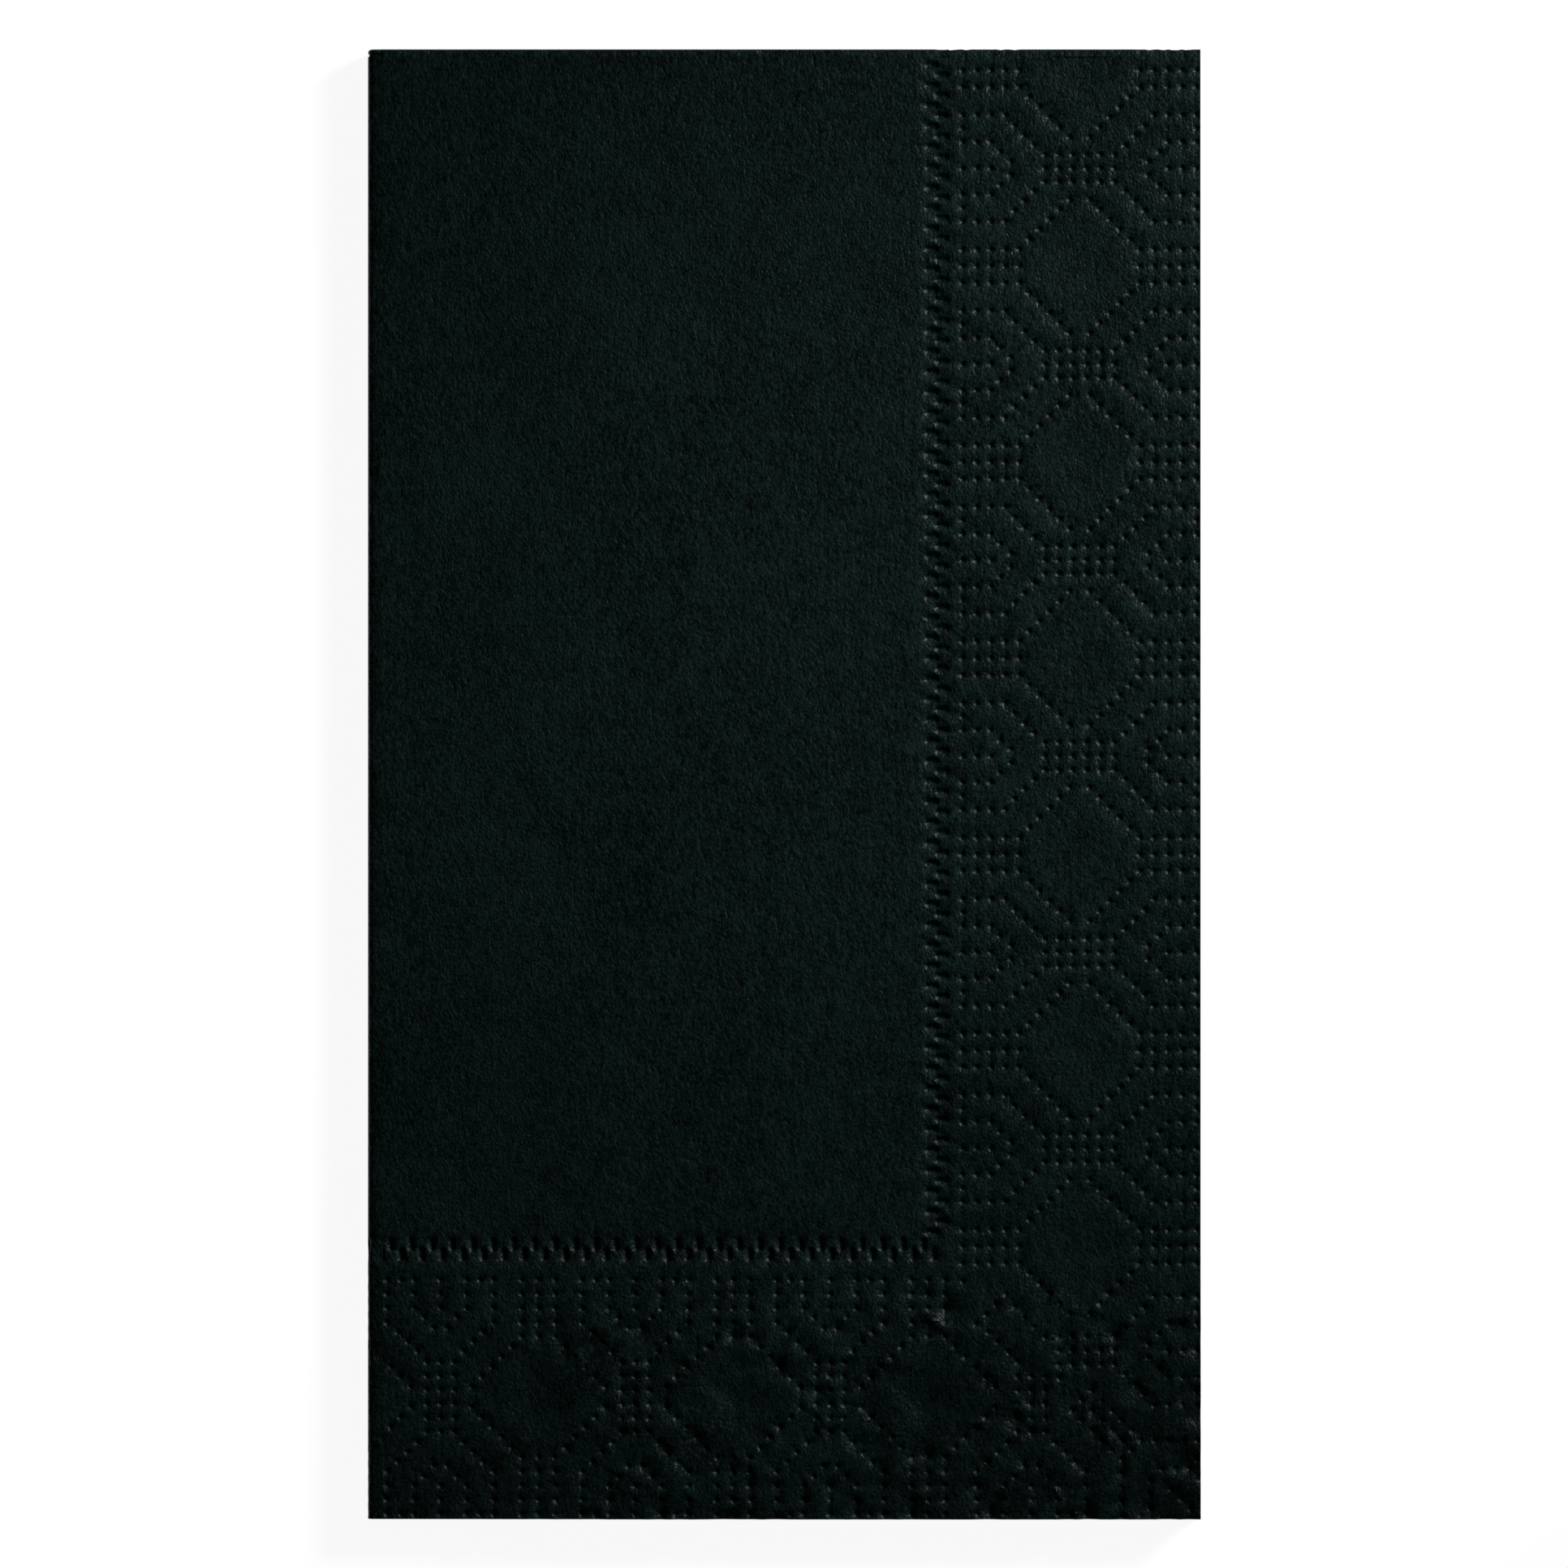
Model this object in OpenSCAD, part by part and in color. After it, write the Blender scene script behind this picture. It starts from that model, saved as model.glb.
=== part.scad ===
// Dinner napkin: one two-ply tissue sheet, folded in half three times into an eighth.
// X is the folded width, Y the folded length, Z up. The origin is under the middle.
// The book fold is the spine at -X, the cross fold is at +Y, and the free corner is at +X, -Y.
// Leaves are counted from the bottom. Leaves 1 to 4 are the lower half, 5 to 8 the upper half.

/* [Sheet] */
// Width of the sheet opened out, across the spine
sheet_w = 431.8; // [160:0.1:640]
// Length of the sheet opened out, along the spine
sheet_l = 381; // [160:0.1:640]
// Thickness of one ply
ply_t = 0.12; // [0.05:0.01:0.3]
// Air between the two plies, which are bonded only at their embossed marks
ply_gap = 0.02; // [0.01:0.01:0.1]

/* [Folding] */
// Air between two leaves that meet face to face
face_gap = 0.1; // [0.05:0.01:0.6]
// Air between two leaves that meet back to back, where the embossed dots stand out
back_gap = 0.42; // [0.1:0.01:1.2]
// How far the free end edge of the inner row stands back from the outer row's
inner_row_setback = 0.6; // [0:0.1:5]
// How far the free side edge of the inner column stands back from the outer column's
inner_column_setback = 0.5; // [0:0.1:5]

/* [Colour] */
// Colour of the tissue
tissue_colour = "#0c1312"; // ["#0c1312", "#f4f4f0", "#7a1420"]

/* [Hidden] */
$fn = 48;
leaf_w = sheet_w / 4;
leaf_l = sheet_l / 2;
sheet_t = 2 * ply_t + ply_gap;
ply_shift = (ply_t + ply_gap) / 2; // from the middle of the sheet to the middle of a ply
face_pitch = sheet_t + face_gap;
back_pitch = sheet_t + back_gap;

leaf_count = 8;
half_count = leaf_count / 2;
// Height of the middle of leaf k: back gaps and face gaps take turns, from the bottom up
function leaf_z(k) = sheet_t / 2 + ceil((k - 1) / 2) * back_pitch + floor((k - 1) / 2) * face_pitch;
function is_face_up(k) = k % 2 == 0;
function is_lower(k) = k <= half_count;
// The outer row's end edge runs through leaves 8, 1, 2, 7 and the inner row's through 5, 4, 3, 6
function is_inner_row(k) = k >= 3 && k <= 6;
// The outer column's side edge runs through leaves 8 and 5, the inner column's through 7 and 6
function is_inner_column(k) = k == 6 || k == 7;

// Each fold is a half turn from leaf j to leaf k round an axis halfway between them
function fold_r(j, k) = (leaf_z(k) - leaf_z(j)) / 2;
function fold_z(j, k) = (leaf_z(k) + leaf_z(j)) / 2;
spine_reach = fold_r(1, 8) + sheet_t / 2;
top_reach = fold_r(1, 4) + sheet_t / 2;
side_reach = fold_r(1, 2) + sheet_t / 2;
// Where the flat leaves end and their folds begin
spine_x = -leaf_w / 2 + spine_reach;
side_x = leaf_w / 2 - side_reach;
top_y = leaf_l / 2 - top_reach;
function end_y(k) = -leaf_l / 2 + (is_inner_row(k) ? inner_row_setback : 0);
function right_x(k) =
    is_lower(k) ? side_x : leaf_w / 2 - (is_inner_column(k) ? inner_column_setback : 0);

// Leaves that each fold joins, lower leaf first. The face is inside folds from a leaf with its face up.
spine_folds = [[4, 5], [3, 6], [2, 7], [1, 8]];
top_folds = [[2, 3], [1, 4], [6, 7], [5, 8]];
side_folds = [[1, 2], [3, 4]];
// Where the top folds turn round the spine: the two leaves of the lower half's fold
spine_corners = [[2, 3], [1, 4]];
plies = ["face", "back"];

function piece_name(kind, leaves, ply) =
    len(leaves) == 1 ? str(kind, "_", leaves[0], "_", ply, "_ply")
    : str(kind, "_", leaves[0], "_", leaves[1], "_", ply, "_ply");

// Middle of a ply, measured up from the leaf's middle or outwards from a fold's middle radius
function ply_lift(k, ply) = (is_face_up(k) == (ply == "face") ? 1 : -1) * ply_shift;
function ply_r(f, ply) = fold_r(f[0], f[1]) - ply_lift(f[0], ply);

// Half turns: up over the top end, round the free side and round the spine
module turn_over_top() rotate([0, 90, 0]) rotate_extrude(angle = 180) children();
module turn_round_side() rotate([-90, 0, 0]) rotate([0, 0, -90]) rotate_extrude(angle = 180) children();
module turn_round_spine() rotate([-90, 0, 0]) rotate([0, 0, 90]) rotate_extrude(angle = 180) children();

// Section of a ply that runs straight along the axis of its turn
module straight_section(r, run) translate([r - ply_t / 2, 0]) square([ply_t, run]);

// Section of a ply that is itself a half ring, whose middle is centre_r from the axis of the turn
module bowed_section(centre_r, r) {
    translate([centre_r, 0]) intersection() {
        difference() {
            circle(r + ply_t / 2);
            circle(r - ply_t / 2);
        }
        translate([-2 * r, 0]) square([4 * r, 2 * r]);
    }
}

module leaf(k, ply) {
    color(tissue_colour)
        translate([spine_x, end_y(k), leaf_z(k) + ply_lift(k, ply) - ply_t / 2])
            cube([right_x(k) - spine_x, top_y - end_y(k), ply_t]);
}

module spine_fold(f, ply) {
    color(tissue_colour)
        translate([spine_x, end_y(f[0]), fold_z(f[0], f[1])])
            turn_round_spine() straight_section(ply_r(f, ply), top_y - end_y(f[0]));
}

module side_fold(f, ply) {
    color(tissue_colour)
        translate([side_x, end_y(f[0]), fold_z(f[0], f[1])])
            turn_round_side() straight_section(ply_r(f, ply), top_y - end_y(f[0]));
}

module top_fold(f, ply) {
    color(tissue_colour)
        translate([spine_x, top_y, fold_z(f[0], f[1])])
            turn_over_top() straight_section(ply_r(f, ply), right_x(f[0]) - spine_x);
}

module spine_corner(f, ply) {
    color(tissue_colour)
        translate([spine_x, top_y, fold_z(1, 8)])
            turn_round_spine() bowed_section(fold_z(1, 8) - fold_z(f[0], f[1]), ply_r(f, ply));
}

module side_corner(f, ply) {
    color(tissue_colour)
        translate([side_x, top_y, fold_z(1, 4)])
            turn_over_top() bowed_section(fold_z(1, 4) - fold_z(f[0], f[1]), ply_r(f, ply));
}

for (ply = plies) {
    for (k = [1 : leaf_count])
        leaf(k, ply);
    for (f = spine_folds)
        spine_fold(f, ply);
    for (f = top_folds)
        top_fold(f, ply);
    for (f = side_folds)
        side_fold(f, ply);
    for (f = spine_corners)
        spine_corner(f, ply);
    side_corner(side_folds[0], ply);
}
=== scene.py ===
import math

import bpy
import numpy as np
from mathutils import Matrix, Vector
from mathutils.geometry import delaunay_2d_cdt


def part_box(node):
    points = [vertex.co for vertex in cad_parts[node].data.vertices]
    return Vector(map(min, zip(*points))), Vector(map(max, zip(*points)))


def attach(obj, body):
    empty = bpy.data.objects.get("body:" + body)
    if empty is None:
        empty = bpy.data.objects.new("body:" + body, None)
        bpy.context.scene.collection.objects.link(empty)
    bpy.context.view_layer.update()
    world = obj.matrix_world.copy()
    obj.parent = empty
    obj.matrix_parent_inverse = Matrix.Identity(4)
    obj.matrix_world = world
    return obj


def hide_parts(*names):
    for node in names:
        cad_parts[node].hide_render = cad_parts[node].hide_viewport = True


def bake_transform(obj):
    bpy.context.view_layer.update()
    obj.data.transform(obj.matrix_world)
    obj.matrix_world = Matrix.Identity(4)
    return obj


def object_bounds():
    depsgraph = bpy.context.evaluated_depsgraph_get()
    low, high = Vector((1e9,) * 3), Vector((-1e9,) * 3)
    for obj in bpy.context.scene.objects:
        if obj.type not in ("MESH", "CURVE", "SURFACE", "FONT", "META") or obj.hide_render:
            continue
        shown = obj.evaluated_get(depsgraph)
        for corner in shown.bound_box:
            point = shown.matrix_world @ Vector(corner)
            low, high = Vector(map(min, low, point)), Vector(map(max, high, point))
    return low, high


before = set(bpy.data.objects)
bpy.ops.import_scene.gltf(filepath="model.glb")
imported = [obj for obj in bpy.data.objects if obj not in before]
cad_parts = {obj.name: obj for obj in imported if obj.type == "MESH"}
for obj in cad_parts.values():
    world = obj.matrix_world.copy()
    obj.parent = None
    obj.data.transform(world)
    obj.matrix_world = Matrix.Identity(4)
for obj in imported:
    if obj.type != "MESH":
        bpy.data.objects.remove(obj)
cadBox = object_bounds()
bpy.ops.object.select_all(action="DESELECT")
print("frame loaded:", len(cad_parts), "paper pieces")

millimetre = 0.001  # shapes are worked out in millimetres and made in metres
plies = ("face", "back")


# sizes read from the frame


def nodeBox(name):
    low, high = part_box(name)
    return np.array(low) / millimetre, np.array(high) / millimetre


def leafBox(leaf, ply="face"):
    return nodeBox(f"leaf_{leaf}_{ply}_ply")


def leafWidth(leaf):
    low, high = leafBox(leaf)
    return high[0] - low[0]


def leafLength(leaf):
    low, high = leafBox(leaf)
    return high[1] - low[1]


def faceIsUp(leaf):
    return leaf % 2 == 0


def bodyOf(leaf):
    return "lower_half" if leaf <= 4 else "upper_half"


plyThickness = leafBox(8)[1][2] - leafBox(8)[0][2]
spineX, topY = leafBox(8)[0][0], leafBox(8)[1][1]
sideX = leafBox(1)[1][0]
low, high = (np.array(corner) / millimetre for corner in cadBox)
napkinMiddle, napkinSize = (low + high) / 2, high - low


# The embossed border. A place on the sheet is (side, end): how far in from the sheet's free side
# edge and from its free end edge. A mark is (side, end, half its run along side, and along end, kind).

sideBorder = {"axis": 15.7, "firstOctagon": 35.35, "period": 25.4}
endBorder = {"axis": 15.85, "firstOctagon": 35.3, "period": 25.25}
motif = {"stripeGap": 2.17, "firstColumn": 7.8, "columnGap": 1.84, "diagonalStep": 1.3, "blockGap": 1.77,
         "blockColumns": (0.9, 2.7, 4.5), "outerRow": 5.8, "innerRow": 9.3, "closingDot": 7.55,
         "outerTurn": ((8.41, 7.19), (7.15, 8.45), (5.89, 9.72)),
         "innerTurn": ((10.3, 10.56), (8.92, 11.82)), "cornerStart": 0.5, "cornerStretch": 1.022}
cornerMotif = {"middle": 15.4, "step": 1.29, "link": 27.2, "tip": 30.85, "rowEnd": 10.25, "nearRow": 6.5,
               "nearDots": (5.05, 3.25, 1.4), "edgeDots": ((0.47, 7.8), (0.1, 5.2)), "diagonal": (3.9, 2.7, 1.35),
               "lone": 18.35, "reach": 14.0, "mitreGap": 0.9, "clearing": 19.0, "clearingEnd": 22.8}
zipper = {"pitch": 2.6535, "half": 0.5, "side": ((34.82, 37.18), (33.49, 38.52)),
          "end": ((35.6, 35.96), (34.3, 34.61))}
markShapes = {"dot": {"radius": 0.58, "flat": 0.06, "depth": 0.33}, "bar": {"radius": 0.64, "flat": 0.06, "depth": 0.4},
              "wrinkle": {"radius": 0.8, "flat": 0.0, "depth": -0.07}}
# rings of points round a mark, as shares of its radius, and how many points each has
fineRings, plainRings = ((1.0, 8), (0.66, 8), (0.33, 8)), ((1.0, 6), (0.5, 6))
hiddenDepth = 0.4  # marks that other paper hides are this much shallower
dish = {"radius": 5.8, "side": 0.17, "end": 0.45, "repeats": 7}  # how the middles of the octagons sag
borderBand = 38.0  # width of the strip along an edge that carries marks


def motifDots():
    # across, along from the middle of an octagon to the next one
    columns = [motif["firstColumn"] + motif["columnGap"] * i for i in range(5)]
    half = sideBorder["period"] / 2
    dots = [(across, along) for across in columns for along in (-motif["stripeGap"], 0, motif["stripeGap"])]
    for end in (-1, 1):
        dots += [(columns[0] - motif["diagonalStep"] * i, end * (motif["stripeGap"] + motif["diagonalStep"] * i))
                 for i in range(1, 6)]
        turn = [(across, motif["outerRow"]) for across in columns[1:]]
        turn += [(across, motif["innerRow"]) for across in columns[2:]]
        turn += [*motif["outerTurn"], *motif["innerTurn"], (columns[4], motif["closingDot"])]
        dots += [(across, half + end * (half - along)) for across, along in turn]
    dots += [(across, half) for across in columns[2:]]
    dots += [(across, half + row * motif["blockGap"]) for across in motif["blockColumns"] for row in (-1, 0, 1)]
    return [(side * across, along) for across, along in dots for side in (-1, 1)]


def borderDots(border, start, stop):
    # across is measured in from the edge, along runs from start to stop
    dots = []
    for repeat in range(-1, int(stop / border["period"]) + 2):
        middle = border["firstOctagon"] + repeat * border["period"]
        for across, along in motifDots():
            place = middle + along
            if repeat < 0:
                if along < motif["outerRow"] - 0.1 or (abs(across) < 5 and along < 10):
                    continue
                back = border["period"] - along
                place = border["firstOctagon"] - motif["cornerStart"] - motif["cornerStretch"] * back
            if start < place < stop:
                dots.append((border["axis"] - across, place))
    return dots


def isOnSideBorder(side, end):
    # the side border's share of the corner, outside the mitre
    if end - side < cornerMotif["mitreGap"] or end < cornerMotif["reach"]:
        return False
    nearLink = side > cornerMotif["link"] - 2.6 and end < cornerMotif["tip"] - 0.5
    return not nearLink and not (side > cornerMotif["clearing"] and end < cornerMotif["clearingEnd"])


def cornerDots():
    middle, step = cornerMotif["middle"], cornerMotif["step"]
    row = [(motif["firstColumn"] - motif["columnGap"] * i, cornerMotif["rowEnd"]) for i in range(5)]
    dots = [(middle - step * (i + 1), middle - step * (i - 1)) for i in range(5)] + row
    dots += [(cornerMotif["link"] - step * (i + 0.5), cornerMotif["link"] + step * (i + 0.5)) for i in range(2)]
    dots += [(near, cornerMotif["nearRow"]) for near in cornerMotif["nearDots"]] + list(cornerMotif["edgeDots"])
    dots += [(end, side) for side, end in dots]
    dots += [(middle - step * i,) * 2 for i in range(6)] + [(near,) * 2 for near in cornerMotif["diagonal"]]
    return dots + [(cornerMotif["tip"],) * 2, (cornerMotif["lone"],) * 2]


def zipperBars(columns, stop):
    return [(across, along) for across, first in columns for along in np.arange(first, stop, zipper["pitch"])]


def dotMarks(places):
    return [(side, end, 0, 0, "dot") for side, end in places]


def endMarks(start, stop):
    # the end border alone, on leaves that lie inside the folds
    dots = [(along, across) for across, along in borderDots(endBorder, start, stop)]
    bars = [(along, across, 0, zipper["half"], "bar") for across, along in zipperBars(zipper["end"], stop)
            if along > start]
    return dotMarks(dots) + bars


def sideMarks(start, stop):
    bars = [(across, along, zipper["half"], 0, "bar") for across, along in zipperBars(zipper["side"], stop)
            if along > start]
    return dotMarks(borderDots(sideBorder, start, stop)) + bars


def freeLeafMarks(width, length):
    # both borders, mitred at the sheet's corner
    marks = [mark for mark in sideMarks(0, length) if mark[4] == "bar" or isOnSideBorder(*mark[:2])]
    marks += [mark for mark in endMarks(0, width) if mark[4] == "bar" or isOnSideBorder(mark[1], mark[0])]
    return marks + dotMarks(cornerDots())


def mirrored(marks, total, along):
    # the marks of both halves of a strip, one half turned to face the other
    near = [mark for mark in marks if mark[along] < total / 2 - markShapes["dot"]["radius"]]
    return near + [tuple(total - mark[i] if i == along else mark[i] for i in range(5)) for mark in near]


# How the leaves ripple: each leaf stands a little off the one under it, most at the free corner.

ripple = {"rise": 0.075, "spineRamp": 0.35, "topRamp": 0.3, "sideRamp": 0.25, "cockle": 0.02, "cockleWaves": 14,
          "cockleLength": (9.0, 34.0), "pucker": 0.36, "puckerWaves": 40, "puckerLength": (3.6, 11.0),
          "puckerShare": {8: 1.0, 5: 0.35, 4: 0.35}, "sidePucker": 0.12,
          "puckerRamp": 0.4}


def smooth(t):
    t = np.clip(t, 0, 1)
    return t * t * (3 - 2 * t)


waveRandom = np.random.default_rng(11)


def makeWaves(count, lengths):
    return [(2 * math.pi / waveRandom.uniform(*lengths), waveRandom.uniform(0, math.pi),
             waveRandom.uniform(0, 2 * math.pi)) for _ in range(count)]


cockles = makeWaves(ripple["cockleWaves"], ripple["cockleLength"])
puckers = makeWaves(ripple["puckerWaves"], ripple["puckerLength"])


def waveHeight(waves, x, y):
    total = sum(np.sin(pitch * (x * math.cos(turn) + y * math.sin(turn)) + phase) for pitch, turn, phase in waves)
    return total / math.sqrt(len(waves))


def puckerHeight(x, y):
    # crinkles of the embossed border, strongest along the end and at the corner
    side, end = sideX - x, y - leafBox(8)[0][1]
    sharp = 1 - np.abs(waveHeight(puckers, x, y))
    weight = smooth((36 - end) / 14) + ripple["sidePucker"] * smooth((40 - side) / 9)
    return ripple["pucker"] * np.clip(weight, 0, 1) * (sharp + 0.6)


def leafLift(leaf, x, y):
    across = (x - spineX) / (sideX - spineX)
    along = (topY - y) / leafLength(8)
    ramp = smooth(across / ripple["spineRamp"]) * smooth(along / ripple["topRamp"])
    lift = np.zeros_like(x)
    for gap in range(1, leaf):
        swell = 0.55 + 0.45 * np.sin(2 * math.pi * (0.7 * along + 0.13 * gap * across) + 1.9 * gap)
        held = smooth((1 - across) / ripple["sideRamp"]) if gap in (1, 3) else 1
        lift += ripple["rise"] * swell * held * ramp
    edge = smooth(across / 0.06) * smooth(along / 0.04)
    lift += ripple["cockle"] * (leaf - 1) / 7 * (waveHeight(cockles, x, y) + 1.6) * edge
    if leaf in ripple["puckerShare"]:
        lift += ripple["puckerShare"][leaf] * puckerHeight(x, y) * smooth(across / ripple["puckerRamp"]) * edge
    return lift


# Building a ply: marks and a loose grid are triangulated flat on the sheet, then laid in place.

mesh = {"edgeStep": 0.45, "plainEdgeStep": 3.0, "gridStep": 2.4, "fineGridStep": 1.5, "foldGridStep": 1.6,
        "clearance": 0.3}


def edgeStations(start, stop, isMarked):
    # close together where marks cross the edge, further apart where the paper is plain
    band = min(stop, borderBand) if isMarked == "band" else (stop if isMarked else start)
    fine = np.linspace(start, band, max(2, int((band - start) / mesh["edgeStep"]) + 1)) if band > start else []
    plain = np.linspace(band, stop, max(2, int((stop - band) / mesh["plainEdgeStep"]) + 1)) if stop > band else []
    return np.unique(np.round(np.concatenate([fine, plain]), 5))


def markRing(mark, share, sides):
    radius = markShapes[mark[4]]["radius"] * share
    turns = (np.arange(sides) + 0.5) * 2 * math.pi / sides
    ring = radius * np.stack([np.cos(turns), np.sin(turns)], axis=1)
    half = np.array(mark[2:4])
    if half.any():  # a long mark: the ring is parted in two, with points along the straight sides
        ring = ring + half * np.where(ring >= 0, 1, -1)
        across = radius * (half == 0)
        ring = np.concatenate([ring, *(half * run + across * way for run in (-1, 0, 1) for way in (-1, 1))], axis=None)
    return np.array(mark[:2]) + ring.reshape(-1, 2)


def markPoints(mark, rings):
    runs = np.array([[0.0]] if mark[4] == "dot" else [[-1.0], [0.0], [1.0]])
    core = np.array(mark[:2]) + runs * np.array(mark[2:4])
    return np.concatenate([*(markRing(mark, share, sides) for share, sides in rings), core])


def distances(points, marks):
    # from each point to the core of each mark
    places = np.array([mark[:4] for mark in marks])
    away = np.maximum(np.abs(points[:, None, :] - places[None, :, :2]) - places[None, :, 2:], 0)
    return np.hypot(away[..., 0], away[..., 1])


def dishDepth(points):
    places = [(sideBorder["axis"], sideBorder["firstOctagon"] + sideBorder["period"] * i, dish["side"])
              for i in range(dish["repeats"])]
    places += [(endBorder["firstOctagon"] + endBorder["period"] * i, endBorder["axis"], dish["end"])
               for i in range(dish["repeats"])]
    return sum(depth * (1 - smooth(np.hypot(points[:, 0] - side, points[:, 1] - end) / dish["radius"]))
               for side, end, depth in places)


def emboss(points, marks):
    # how far each point of the sheet is pressed towards the back, worked out in bands along the sheet
    depth = np.zeros(len(points))
    order = np.argsort(points[:, 1])
    for chosen in np.array_split(order, len(order) // 800 + 1):
        first, last = points[chosen[0], 1], points[chosen[-1], 1]
        near = [mark for mark in marks if first - 2 < mark[1] - mark[3] and mark[1] + mark[3] < last + 2]
        near += [mark for mark in marks if mark[3] > 1 and mark not in near]
        if near:
            radius, flat, deepest = (np.array([markShapes[mark[4]][key] for mark in near])
                                     for key in ("radius", "flat", "depth"))
            press = 1 - smooth((distances(points[chosen], near) - flat) / (radius - flat))
            depth[chosen] = (deepest * press).sum(axis=1)
    return depth


def triangulate(corners, edges, marks, grid, rings):
    # corners are (low side, low end), (high side, high end); edges hold the stations of the four edges
    (lowSide, lowEnd), (highSide, highEnd) = corners
    loop = [(side, lowEnd) for side in edges["lowEnd"][:-1]] + [(highSide, end) for end in edges["highSide"][:-1]]
    loop += [(side, highEnd) for side in edges["highEnd"][:0:-1]] + [(lowSide, end) for end in edges["lowSide"][:0:-1]]
    inner = [grid] + [markPoints(mark, rings) for mark in marks]
    inner = np.concatenate(inner)
    clear = 0.08
    isInside = ((inner > np.array(corners[0]) + clear) & (inner < np.array(corners[1]) - clear)).all(axis=1)
    points = np.concatenate([np.array(loop), inner[isInside]])
    ring = [(i, (i + 1) % len(loop)) for i in range(len(loop))]
    found = delaunay_2d_cdt([Vector(point) for point in points.tolist()], ring, [], 0, 1e-5, False)
    return np.array([tuple(point) for point in found[0]]), found[2]


def looseGrid(sides, ends, marks, clearance, jitter=0.0):
    grid = np.stack(np.meshgrid(sides, ends, indexing="ij"), axis=-1).reshape(-1, 2)
    grid = grid + np.random.default_rng(5).uniform(-jitter, jitter, grid.shape)
    if not marks:
        return grid
    radius = np.array([markShapes[mark[4]]["radius"] for mark in marks])
    parts = np.array_split(grid, len(grid) // 800 + 1)
    return np.concatenate([part[(distances(part, marks) > radius + clearance).all(axis=1)] for part in parts])


def makePaper(name, places, faces, faceSide):
    # places are in millimetres; faceSide is the way that the sheet's face looks, at each of them
    shape = bpy.data.meshes.new(name)
    shape.from_pydata((places * millimetre).tolist(), [], faces)
    shape.validate()
    middle = shape.polygons[len(shape.polygons) // 2]
    if middle.normal.dot(Vector(faceSide[middle.vertices[0]])) < 0:
        shape.flip_normals()
    paper = bpy.data.objects.new(name, shape)
    bpy.context.collection.objects.link(paper)
    return paper


def giveThickness(paper, node, thickness):
    bpy.ops.object.select_all(action="DESELECT")
    bpy.context.view_layer.objects.active = paper
    paper.select_set(True)
    solid = paper.modifiers.new("ply", "SOLIDIFY")
    solid.thickness, solid.offset = thickness * millimetre, -1
    bpy.ops.object.modifier_apply(modifier=solid.name)
    places = np.array([vertex.co for vertex in paper.data.vertices])
    bottom, top = (corner * millimetre for corner in nodeBox(node))
    places[:, :2] = np.clip(places[:, :2], bottom[:2], top[:2])  # edges are cut straight
    paper.data.vertices.foreach_set("co", places.ravel())
    paper.data.update()
    bpy.ops.object.shade_smooth_by_angle(angle=math.radians(50))
    paper.select_set(False)


def finishPly(paper, node, bodies):
    # bodies is the one that the paper rides on; paper given two bodies is tied to neither half
    ply = "face" if "face" in node else "back"
    giveThickness(paper, node, plyThickness)
    paper.data.materials.append(tissue[ply])
    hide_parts(node)
    if len(bodies) == 1:
        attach(paper, bodies[0])
    return paper


# The tissue


class Wire:
    # one socket of a shader, on which sums can be written
    def __init__(self, tree, socket):
        self.tree, self.socket = tree, socket

    def node(self, kind, settings=None, inputs=None, output=0):
        made = self.tree.nodes.new(kind)
        for key, value in (settings or {}).items():
            setattr(made, key, value)
        for key, value in (inputs or {}).items():
            if isinstance(value, Wire):
                self.tree.links.new(value.socket, made.inputs[key])
            else:
                made.inputs[key].default_value = value
        return Wire(self.tree, made.outputs[output])

    def math(self, operation, first, second=0.0, clamp=False):
        return self.node("ShaderNodeMath", {"operation": operation, "use_clamp": clamp}, {0: first, 1: second})

    def __add__(self, other):
        return self.math("ADD", self, other)

    def __sub__(self, other):
        return self.math("SUBTRACT", self, other)

    def __rsub__(self, other):
        return self.math("SUBTRACT", other, self)

    def __mul__(self, other):
        return self.math("MULTIPLY", self, other)

    __radd__, __rmul__ = __add__, __mul__

    def between(self, start, stop):
        return self.node("ShaderNodeMapRange", {"interpolation_type": "SMOOTHSTEP"},
                         {"Value": self, "From Min": start, "From Max": stop})


tissueLook = {"dark": (0.0001, 0.0018, 0.0016, 1), "pale": (0.0043, 0.0134, 0.0122, 1), "gloss": 0.1,
              "roughness": 0.43, "bump": 0.0002,
              # size of the pattern, its stretch along the fold, its weight in the colour and in the relief
              "layers": ((16.0, 1.4, 0.5, 0.0), (3.4, 1.3, 0.5, 0.0), (1.3, 1.6, 0.7, 0.3), (0.6, 1.8, 1.0, 0.5),
                         (0.3, 1.3, 1.6, 0.55))}


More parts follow.
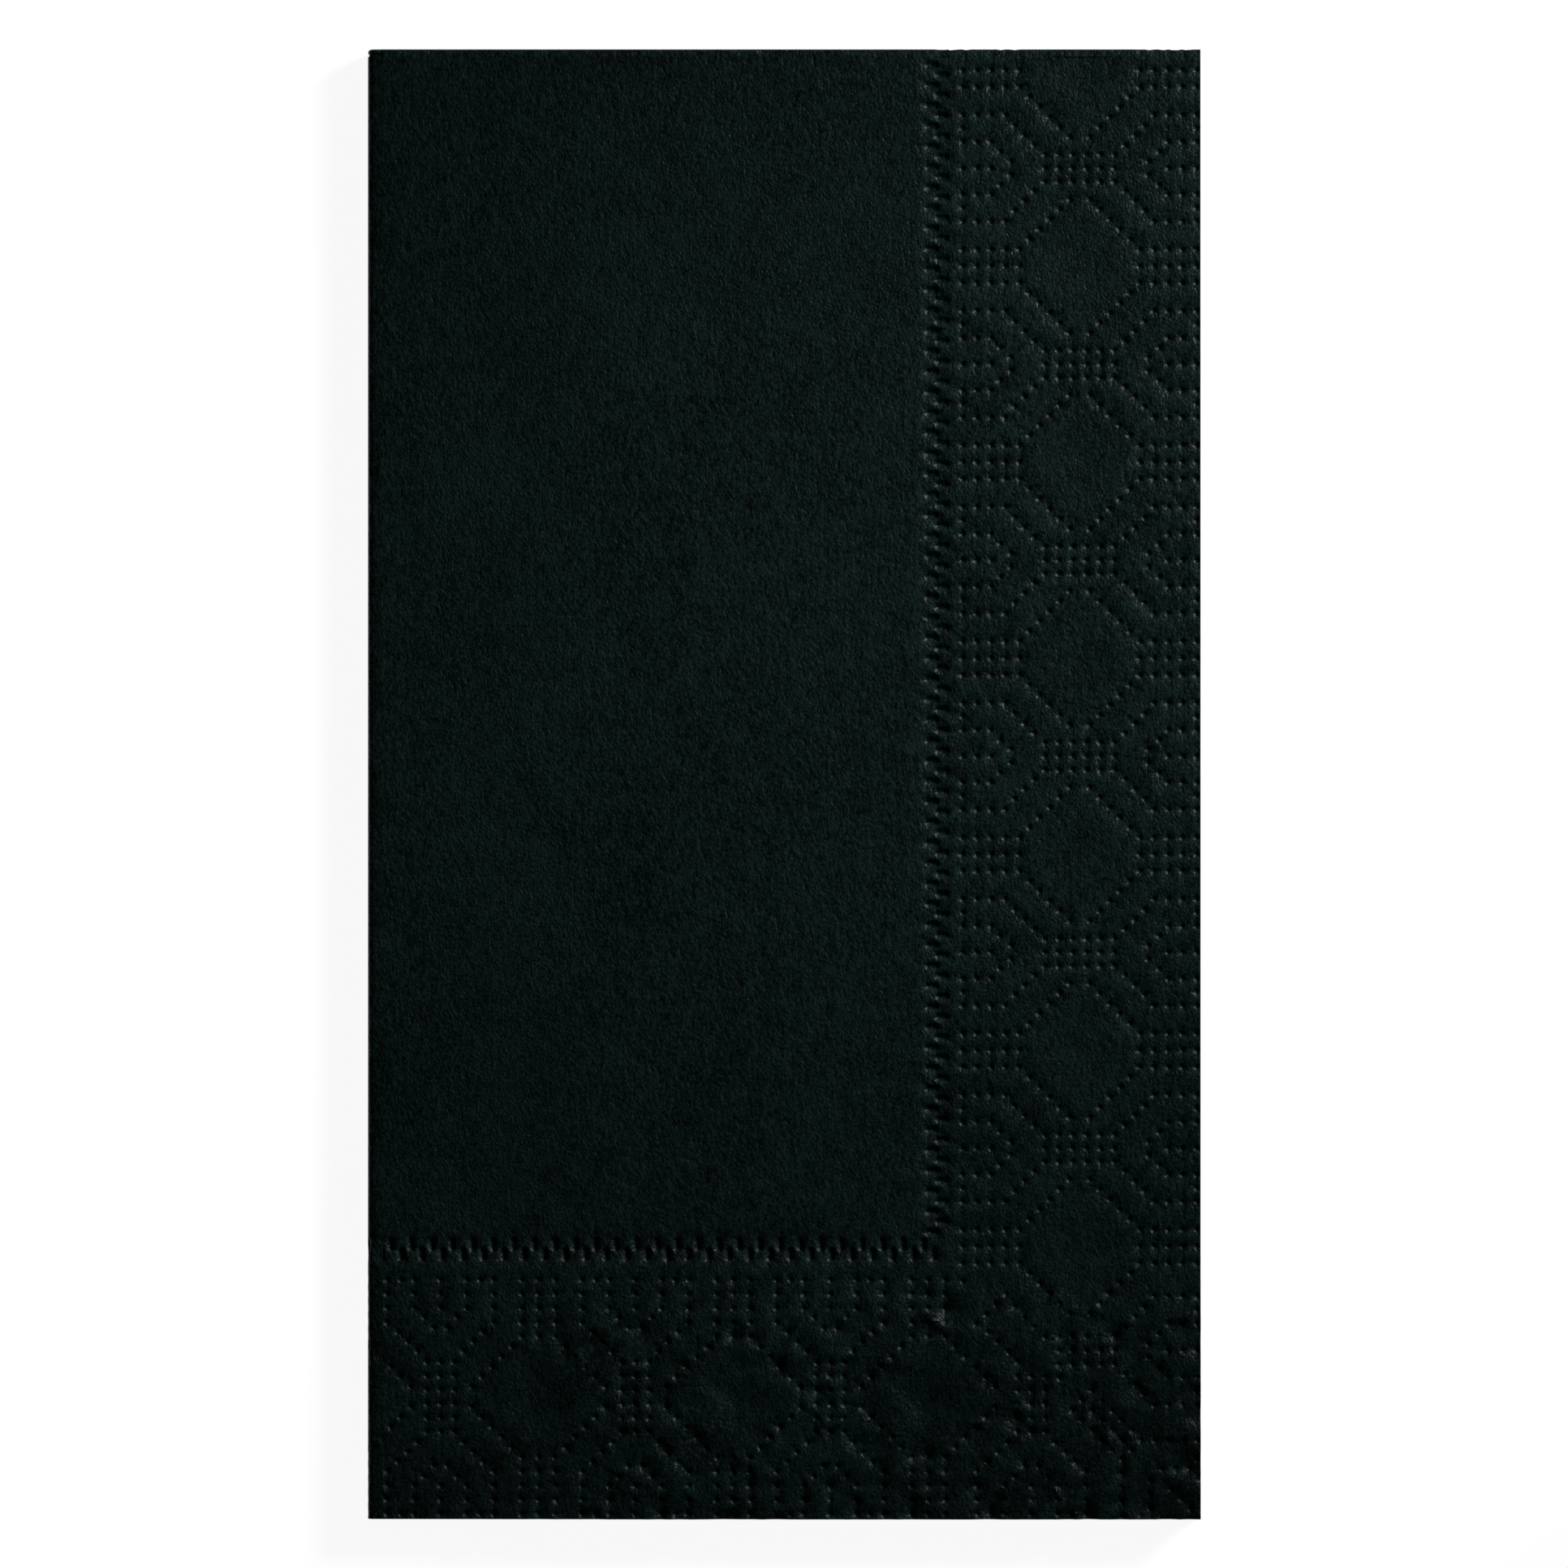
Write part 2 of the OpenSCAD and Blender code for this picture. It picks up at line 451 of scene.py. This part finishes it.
def makeTissue(name, look, seed):
    material = bpy.data.materials.new(name)
    material.use_nodes = True
    tree = material.node_tree
    shader = tree.nodes["Principled BSDF"]
    shader.inputs["Specular IOR Level"].default_value = look["gloss"]
    place = Wire(tree, tree.nodes.new("ShaderNodeTexCoord").outputs["Object"])
    mask, height, finest = 0.5, 0.0, None
    for i, (size, stretch, inColour, inRelief) in enumerate(look["layers"]):
        scale = 1 / (size * millimetre)
        mapped = place.node("ShaderNodeMapping", {}, {"Vector": place, "Location": (seed + 1.7 * i, 2.3 * i, 0),
                                                      "Scale": (scale, scale / stretch, scale)})
        finest = place.node("ShaderNodeTexNoise", {}, {"Vector": mapped, "Scale": 1.0, "Detail": 1.0}) - 0.5
        mask = finest * inColour + mask
        if inRelief:
            height = finest * inRelief + height
    colour = place.node("ShaderNodeMix", {"data_type": "RGBA"}, {0: mask, 6: look["dark"], 7: look["pale"]}, 2)
    bump = place.node("ShaderNodeBump", {}, {"Height": height, "Strength": 1.0, "Distance": look["bump"]})
    tree.links.new(colour.socket, shader.inputs["Base Color"])
    tree.links.new(bump.socket, shader.inputs["Normal"])
    tree.links.new((finest * 0.2 + look["roughness"]).socket, shader.inputs["Roughness"])
    return material


tissue = {ply: makeTissue(f"{ply}Tissue", tissueLook, seed) for ply, seed in (("face", 0.0), ("back", 5.3))}
print("tissue made")


# The flat leaves

spineFolds, topFolds = ((4, 5), (3, 6), (2, 7), (1, 8)), ((2, 3), (1, 4), (6, 7), (5, 8))
sideFolds = ((1, 2), (3, 4))
showingPlies = ("leaf_1_face", "leaf_4_face", "leaf_5_face", "leaf_8_face")  # outside, or outside once opened
wrinkles = [(65.9, 152.4, 0.05, 2.2), (66.0, 126.7, 0.1, 3.6), (1.6, 10.1, 0.1, 2.4), (38.9, 99.0, 0.7, 0.5),
            (38.7, 44.3, 0.6, 0.7)]


def foldKind(lower, upper):
    if lower + upper == 9:
        return "spine"
    return "side" if (lower, upper) in sideFolds else "top"


def foldRadius(lower, upper, ply):
    # radius, from the fold's axis, of the side of the ply that is nearer the sheet's face
    bottom, top = nodeBox(f"{foldKind(lower, upper)}_fold_{lower}_{upper}_{ply}_ply")
    outer = (top[2] - bottom[2]) / 2
    return outer - plyThickness if faceIsUp(lower) else outer


def startOfLeaf(leaf, ply):
    # a lower leaf starts as far from the sheet's side edge as the spine fold has carried it
    return 0.0 if leaf > 4 else leafWidth(9 - leaf) + math.pi * foldRadius(leaf, 9 - leaf, ply)


def within(marks, corners):
    reach = markShapes["dot"]["radius"]
    return [mark for mark in marks
            if all(corners[0][i] - reach - mark[i + 2] < mark[i] < corners[1][i] + reach + mark[i + 2] for i in (0, 1))]


def makeLeaf(leaf, ply):
    node = f"leaf_{leaf}_{ply}_ply"
    bottom, top = nodeBox(node)
    width, length = leafWidth(leaf), leafLength(leaf)
    isFree, start, isShowing = leaf > 4, startOfLeaf(leaf, ply), f"leaf_{leaf}_{ply}" in showingPlies
    step = mesh["fineGridStep" if isShowing else "gridStep"]
    corners = ((start, 0.0), (start + width, length))
    marks = freeLeafMarks(width + 1, length + 1) if isFree else endMarks(start - 1, start + width + 1)
    if leaf == 8:
        marks = marks + [(*wrinkle, "wrinkle") for wrinkle in wrinkles]
    marks = within(marks, corners)
    edges = {"lowEnd": edgeStations(start, start + width, True),
             "highEnd": edgeStations(start, start + width, "band" if isFree else False),
             "lowSide": edgeStations(0, length, True if isFree else "band"),
             "highSide": edgeStations(0, length, "band")}
    grid = looseGrid(np.arange(start + step / 2, start + width, step), np.arange(step / 2, length, step), marks,
                     mesh["clearance"], 0.25 * step)
    points, faces = triangulate(corners, edges, marks, grid, fineRings if isShowing else plainRings)
    depth = emboss(points, marks) * (hiddenDepth if leaf in (2, 3, 6, 7) else 1)
    if leaf in ripple["puckerShare"]:
        depth += dishDepth(points) * (1 if leaf == 8 else 0.3)
    x = top[0] - points[:, 0] if isFree else bottom[0] + points[:, 0] - start
    y = bottom[1] + points[:, 1]
    faceWay = 1 if faceIsUp(leaf) else -1
    surface = top[2] if faceIsUp(leaf) else bottom[2]
    z = surface - faceWay * depth + leafLift(leaf, x, y)
    places = np.stack([x, y, z], axis=1)
    faceSide = np.tile((0.0, 0.0, faceWay), (len(places), 1))
    paper = makePaper(f"leaf{leaf}{ply.capitalize()}Ply", places, faces, faceSide)
    return finishPly(paper, node, [bodyOf(leaf)])


for leaf in range(1, 9):
    for ply in plies:
        makeLeaf(leaf, ply)


# The folds. A strip runs on from one leaf, round the fold's axis, to the other.


crease = 5.0  # 2 folds the paper round, and more presses the fold flatter


def pressed(run, rise):
    # a round turn, pressed squarer about its axis
    reach = np.maximum(np.hypot(run, rise), 1e-12)
    return [np.sign(part) * np.abs(part / reach) ** (2 / crease) * reach for part in (run, rise)]


def foldSteps(radius):
    return max(6, min(18, round(math.pi * radius / 0.35)))


def makeStrip(lower, upper, ply):
    kind = foldKind(lower, upper)
    node = f"{kind}_fold_{lower}_{upper}_{ply}_ply"
    bottom, top = nodeBox(node)
    middle = (bottom + top) / 2
    radius = foldRadius(lower, upper, ply)
    run, faceWay = math.pi * radius, -1 if faceIsUp(lower) else 1  # outwards or towards the axis
    span = leafWidth(lower) if kind == "top" else leafLength(lower)
    if kind == "spine":
        start = leafWidth(upper)
        marks = endMarks(start - 1, start + run + 1)
    elif kind == "side":
        start, other = (startOfLeaf(leaf, ply) + leafWidth(leaf) for leaf in (lower, upper))
        marks = mirrored(endMarks(start - 1, start + run + 1), start + run + other, 0)
    else:
        start, other = leafLength(lower), leafLength(upper)
        marks = mirrored(sideMarks(start - 1, start + run + 1), start + run + other, 1) if lower > 4 else []
    round_ = np.linspace(start, start + run, foldSteps(radius) + 1)
    along = edgeStations(0, span, "band" if marks or kind == "spine" else False)
    spread = np.arange(mesh["foldGridStep"] / 2, span, mesh["foldGridStep"])
    if kind == "top":
        corners = ((0.0, start), (span, start + run))
        edges = {"lowEnd": along, "highEnd": along, "lowSide": round_, "highSide": round_}
        sides, ends = spread, round_[1:-1]
    else:
        corners = ((start, 0.0), (start + run, span))
        edges = {"lowEnd": round_, "highEnd": round_, "lowSide": along, "highSide": along}
        sides, ends = round_[1:-1], spread
    marks = within(marks, corners)
    grid = looseGrid(sides, ends, marks, 0.1)
    points, faces = triangulate(corners, edges, marks, grid, plainRings)
    turn = (points[:, 1 if kind == "top" else 0] - start) / radius
    away = radius - faceWay * hiddenDepth * emboss(points, marks)
    out, up = pressed(np.sin(turn), -np.cos(turn))
    none = np.zeros_like(turn)
    if kind == "spine":  # from the upper leaf, round to the lower one
        x, y, z = spineX - away * out, bottom[1] + points[:, 1], middle[2] - away * up
        faceSide = np.stack([-out, none, -up], axis=1)
    elif kind == "side":  # from the lower leaf, round to the upper one
        x, y = sideX + away * out, bottom[1] + points[:, 1]
        atFold = np.full_like(x, sideX)
        share = turn / math.pi
        z = middle[2] + away * up + leafLift(lower, atFold, y) * (1 - share) + leafLift(upper, atFold, y) * share
        faceSide = np.stack([out, none, up], axis=1)
    else:
        x = top[0] - points[:, 0] if lower > 4 else bottom[0] + points[:, 0]
        y, z = topY + away * out, middle[2] + away * up
        faceSide = np.stack([none, out, up], axis=1)
    name = f"{kind}Fold{lower}{upper}{ply.capitalize()}Ply"
    paper = makePaper(name, np.stack([x, y, z], axis=1), faces, faceWay * faceSide)
    finishPly(paper, node, ["lower_half", "upper_half"] if kind == "spine" else [bodyOf(lower)])
    if kind == "spine":
        bendBetweenHalves(paper, radius if faceWay < 0 else radius - plyThickness)
    return paper


def bendBetweenHalves(paper, radius):
    # the paper's place is baked into its mesh, and it follows neither half
    spineZ = napkinMiddle[2]
    start, end = (Vector((spineX, 0, spineZ + way * radius)) * millimetre for way in (-1, 1))
    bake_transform(paper)


for lower, upper in spineFolds + topFolds + sideFolds:
    for ply in plies:
        makeStrip(lower, upper, ply)
print("folds made")


# The fold corners: half a ring, the end of one fold, spun round the fold that it turns with.


def makeCorner(kind, lower, upper, ply, pivotZ):
    # kind is the fold that the ring turns with at the spine, and the ring's own fold at the side
    isSpine = kind == "spine"
    node = f"{kind}_corner_{lower}_{upper}_{ply}_ply"
    radius = foldRadius(lower, upper, ply)
    ringZ = (leafBox(lower)[0][2] + leafBox(upper, "face")[1][2]) / 2
    ringX = spineX if isSpine else sideX
    centre, pivot = Vector((ringX, topY, ringZ)), Vector((ringX, topY, pivotZ))
    turned = (0, math.pi / 2, 0) if isSpine else (math.pi / 2, 0, 0)
    bpy.ops.object.select_all(action="DESELECT")
    bpy.ops.mesh.primitive_circle_add(vertices=2 * foldSteps(radius), radius=radius * millimetre,
                                      location=centre * millimetre, rotation=turned)
    corner = bpy.context.object
    corner.name = corner.data.name = f"{kind}Corner{lower}{upper}{ply.capitalize()}Ply"
    bpy.ops.object.transform_apply(location=True, rotation=True, scale=True)
    bpy.ops.object.mode_set(mode="EDIT")
    bpy.ops.mesh.select_mode(type="VERT")
    bpy.ops.mesh.select_all(action="DESELECT")
    bpy.ops.object.mode_set(mode="OBJECT")
    along = 1 if isSpine else 0
    for vertex in corner.data.vertices:
        vertex.select = vertex.co[along] < centre[along] * millimetre - 1e-7
    bpy.ops.object.mode_set(mode="EDIT")
    bpy.ops.mesh.delete(type="VERT")
    bpy.ops.mesh.select_all(action="SELECT")
    axis, sweep = ((0, 1, 0), math.pi) if isSpine else ((1, 0, 0), math.pi)
    bpy.ops.mesh.spin(steps=18, angle=-sweep, center=pivot * millimetre, axis=axis)
    bpy.ops.mesh.select_all(action="SELECT")
    bpy.ops.mesh.remove_doubles(threshold=1e-7)
    bpy.ops.object.mode_set(mode="OBJECT")
    places = np.array([vertex.co for vertex in corner.data.vertices])
    pivotPlace, ringAway = np.array(pivot) * millimetre, abs(ringZ - pivotZ) * millimetre
    side = 1 - along
    run, rise = places[:, side] - pivotPlace[side], places[:, 2] - pivotPlace[2]
    reach = np.hypot(run, rise)
    across, off = pressed(reach - ringAway, places[:, along] - pivotPlace[along])
    share = (ringAway + across) / np.maximum(reach, 1e-12)
    run, rise = pressed(run * share, rise * share)
    places[:, side], places[:, 2], places[:, along] = pivotPlace[side] + run, pivotPlace[2] + rise, pivotPlace[along] + off
    corner.data.vertices.foreach_set("co", places.ravel())
    corner.data.update()
    face = corner.data.polygons[len(corner.data.polygons) // 2]
    toFace = face.center - pivot * millimetre
    toFace[along] = 0
    ring = pivot * millimetre + toFace.normalized() * ringAway
    faceWay = -1 if faceIsUp(lower) else 1
    if face.normal.dot(face.center - ring) * faceWay < 0:
        corner.data.flip_normals()
    finishPly(corner, node, ["lower_half", "upper_half"] if isSpine else ["lower_half"])
    if isSpine:
        bendBetweenHalves(corner, foldRadius(4, 5, "face"))
    return corner


lowerTopZ = (leafBox(2)[1][2] + leafBox(3)[0][2]) / 2
for ply in plies:
    for lower, upper in ((2, 3), (1, 4)):
        makeCorner("spine", lower, upper, ply, napkinMiddle[2])
    makeCorner("side", 1, 2, ply, lowerTopZ)
print("corners made")


# The floor, lamps and camera

studio = {"frameWidth": 203.18, "lens": 200, "sensor": 36, "keySize": 180, "keyAway": (305, 215, 145), "keyPower": 0.345, "keyAim": (6, 17), "keySpread": 50,
          "world": 0.03, "floorSize": 6000, "floorLift": 0.93}


def makeFloor():
    bpy.ops.object.select_all(action="DESELECT")
    bpy.ops.mesh.primitive_plane_add(size=studio["floorSize"] * millimetre, location=(0, 0, -0.00002))
    floor = bpy.context.object
    floor.name = "floor"
    bpy.ops.object.transform_apply(location=True, rotation=True, scale=True)
    material = bpy.data.materials.new("paleFloor")
    material.use_nodes = True
    tree = material.node_tree
    tree.nodes.remove(tree.nodes["Principled BSDF"])
    path = tree.nodes.new("ShaderNodeLightPath")
    seen = Wire(tree, path.outputs["Is Camera Ray"]) + Wire(tree, path.outputs["Is Glossy Ray"])
    pale = seen.node("ShaderNodeBsdfDiffuse", {}, {"Color": (0.25, 0.25, 0.25, 1)})
    glow = seen.node("ShaderNodeEmission", {}, {"Color": (1, 1, 1, 1), "Strength": seen * studio["floorLift"]})
    both = seen.node("ShaderNodeAddShader", {}, {0: pale, 1: glow})
    tree.links.new(both.socket, tree.nodes["Material Output"].inputs["Surface"])
    floor.data.materials.append(material)


def makeLamps():
    middle = Vector((napkinMiddle[0], napkinMiddle[1], napkinSize[2]))
    key = bpy.data.lights.new("keyLamp", "AREA")
    key.size, key.energy = studio["keySize"] * millimetre, studio["keyPower"]
    lamp = bpy.data.objects.new("keyLamp", key)
    bpy.context.collection.objects.link(lamp)
    key.spread = math.radians(studio["keySpread"])
    away = Vector(studio["keyAway"])
    lamp.location = (middle + away) * millimetre
    lamp.rotation_euler = (away - Vector((*studio["keyAim"], 0))).to_track_quat("Z", "Y").to_euler()
    world = bpy.data.worlds.new("softWorld")
    bpy.context.scene.world = world
    world.use_nodes = True
    tree = world.node_tree
    path = tree.nodes.new("ShaderNodeLightPath")
    seen = Wire(tree, path.outputs["Is Camera Ray"])
    strength = seen * (1 - studio["world"]) + studio["world"]
    tree.nodes["Background"].inputs["Color"].default_value = (1, 1, 1, 1)
    tree.links.new(strength.socket, tree.nodes["Background"].inputs["Strength"])


def makeCamera():
    camera = bpy.data.objects.new("camera", bpy.data.cameras.new("camera"))
    camera.data.lens, camera.data.sensor_width = studio["lens"], studio["sensor"]
    distance = studio["frameWidth"] * studio["lens"] / studio["sensor"]
    camera.location = Vector((napkinMiddle[0], napkinMiddle[1], napkinSize[2] + distance)) * millimetre
    camera.data.clip_end = 20
    bpy.context.collection.objects.link(camera)
    bpy.context.scene.camera = camera


makeFloor()
makeLamps()
makeCamera()
bpy.context.scene.view_settings.view_transform = "Standard"
print("studio made")
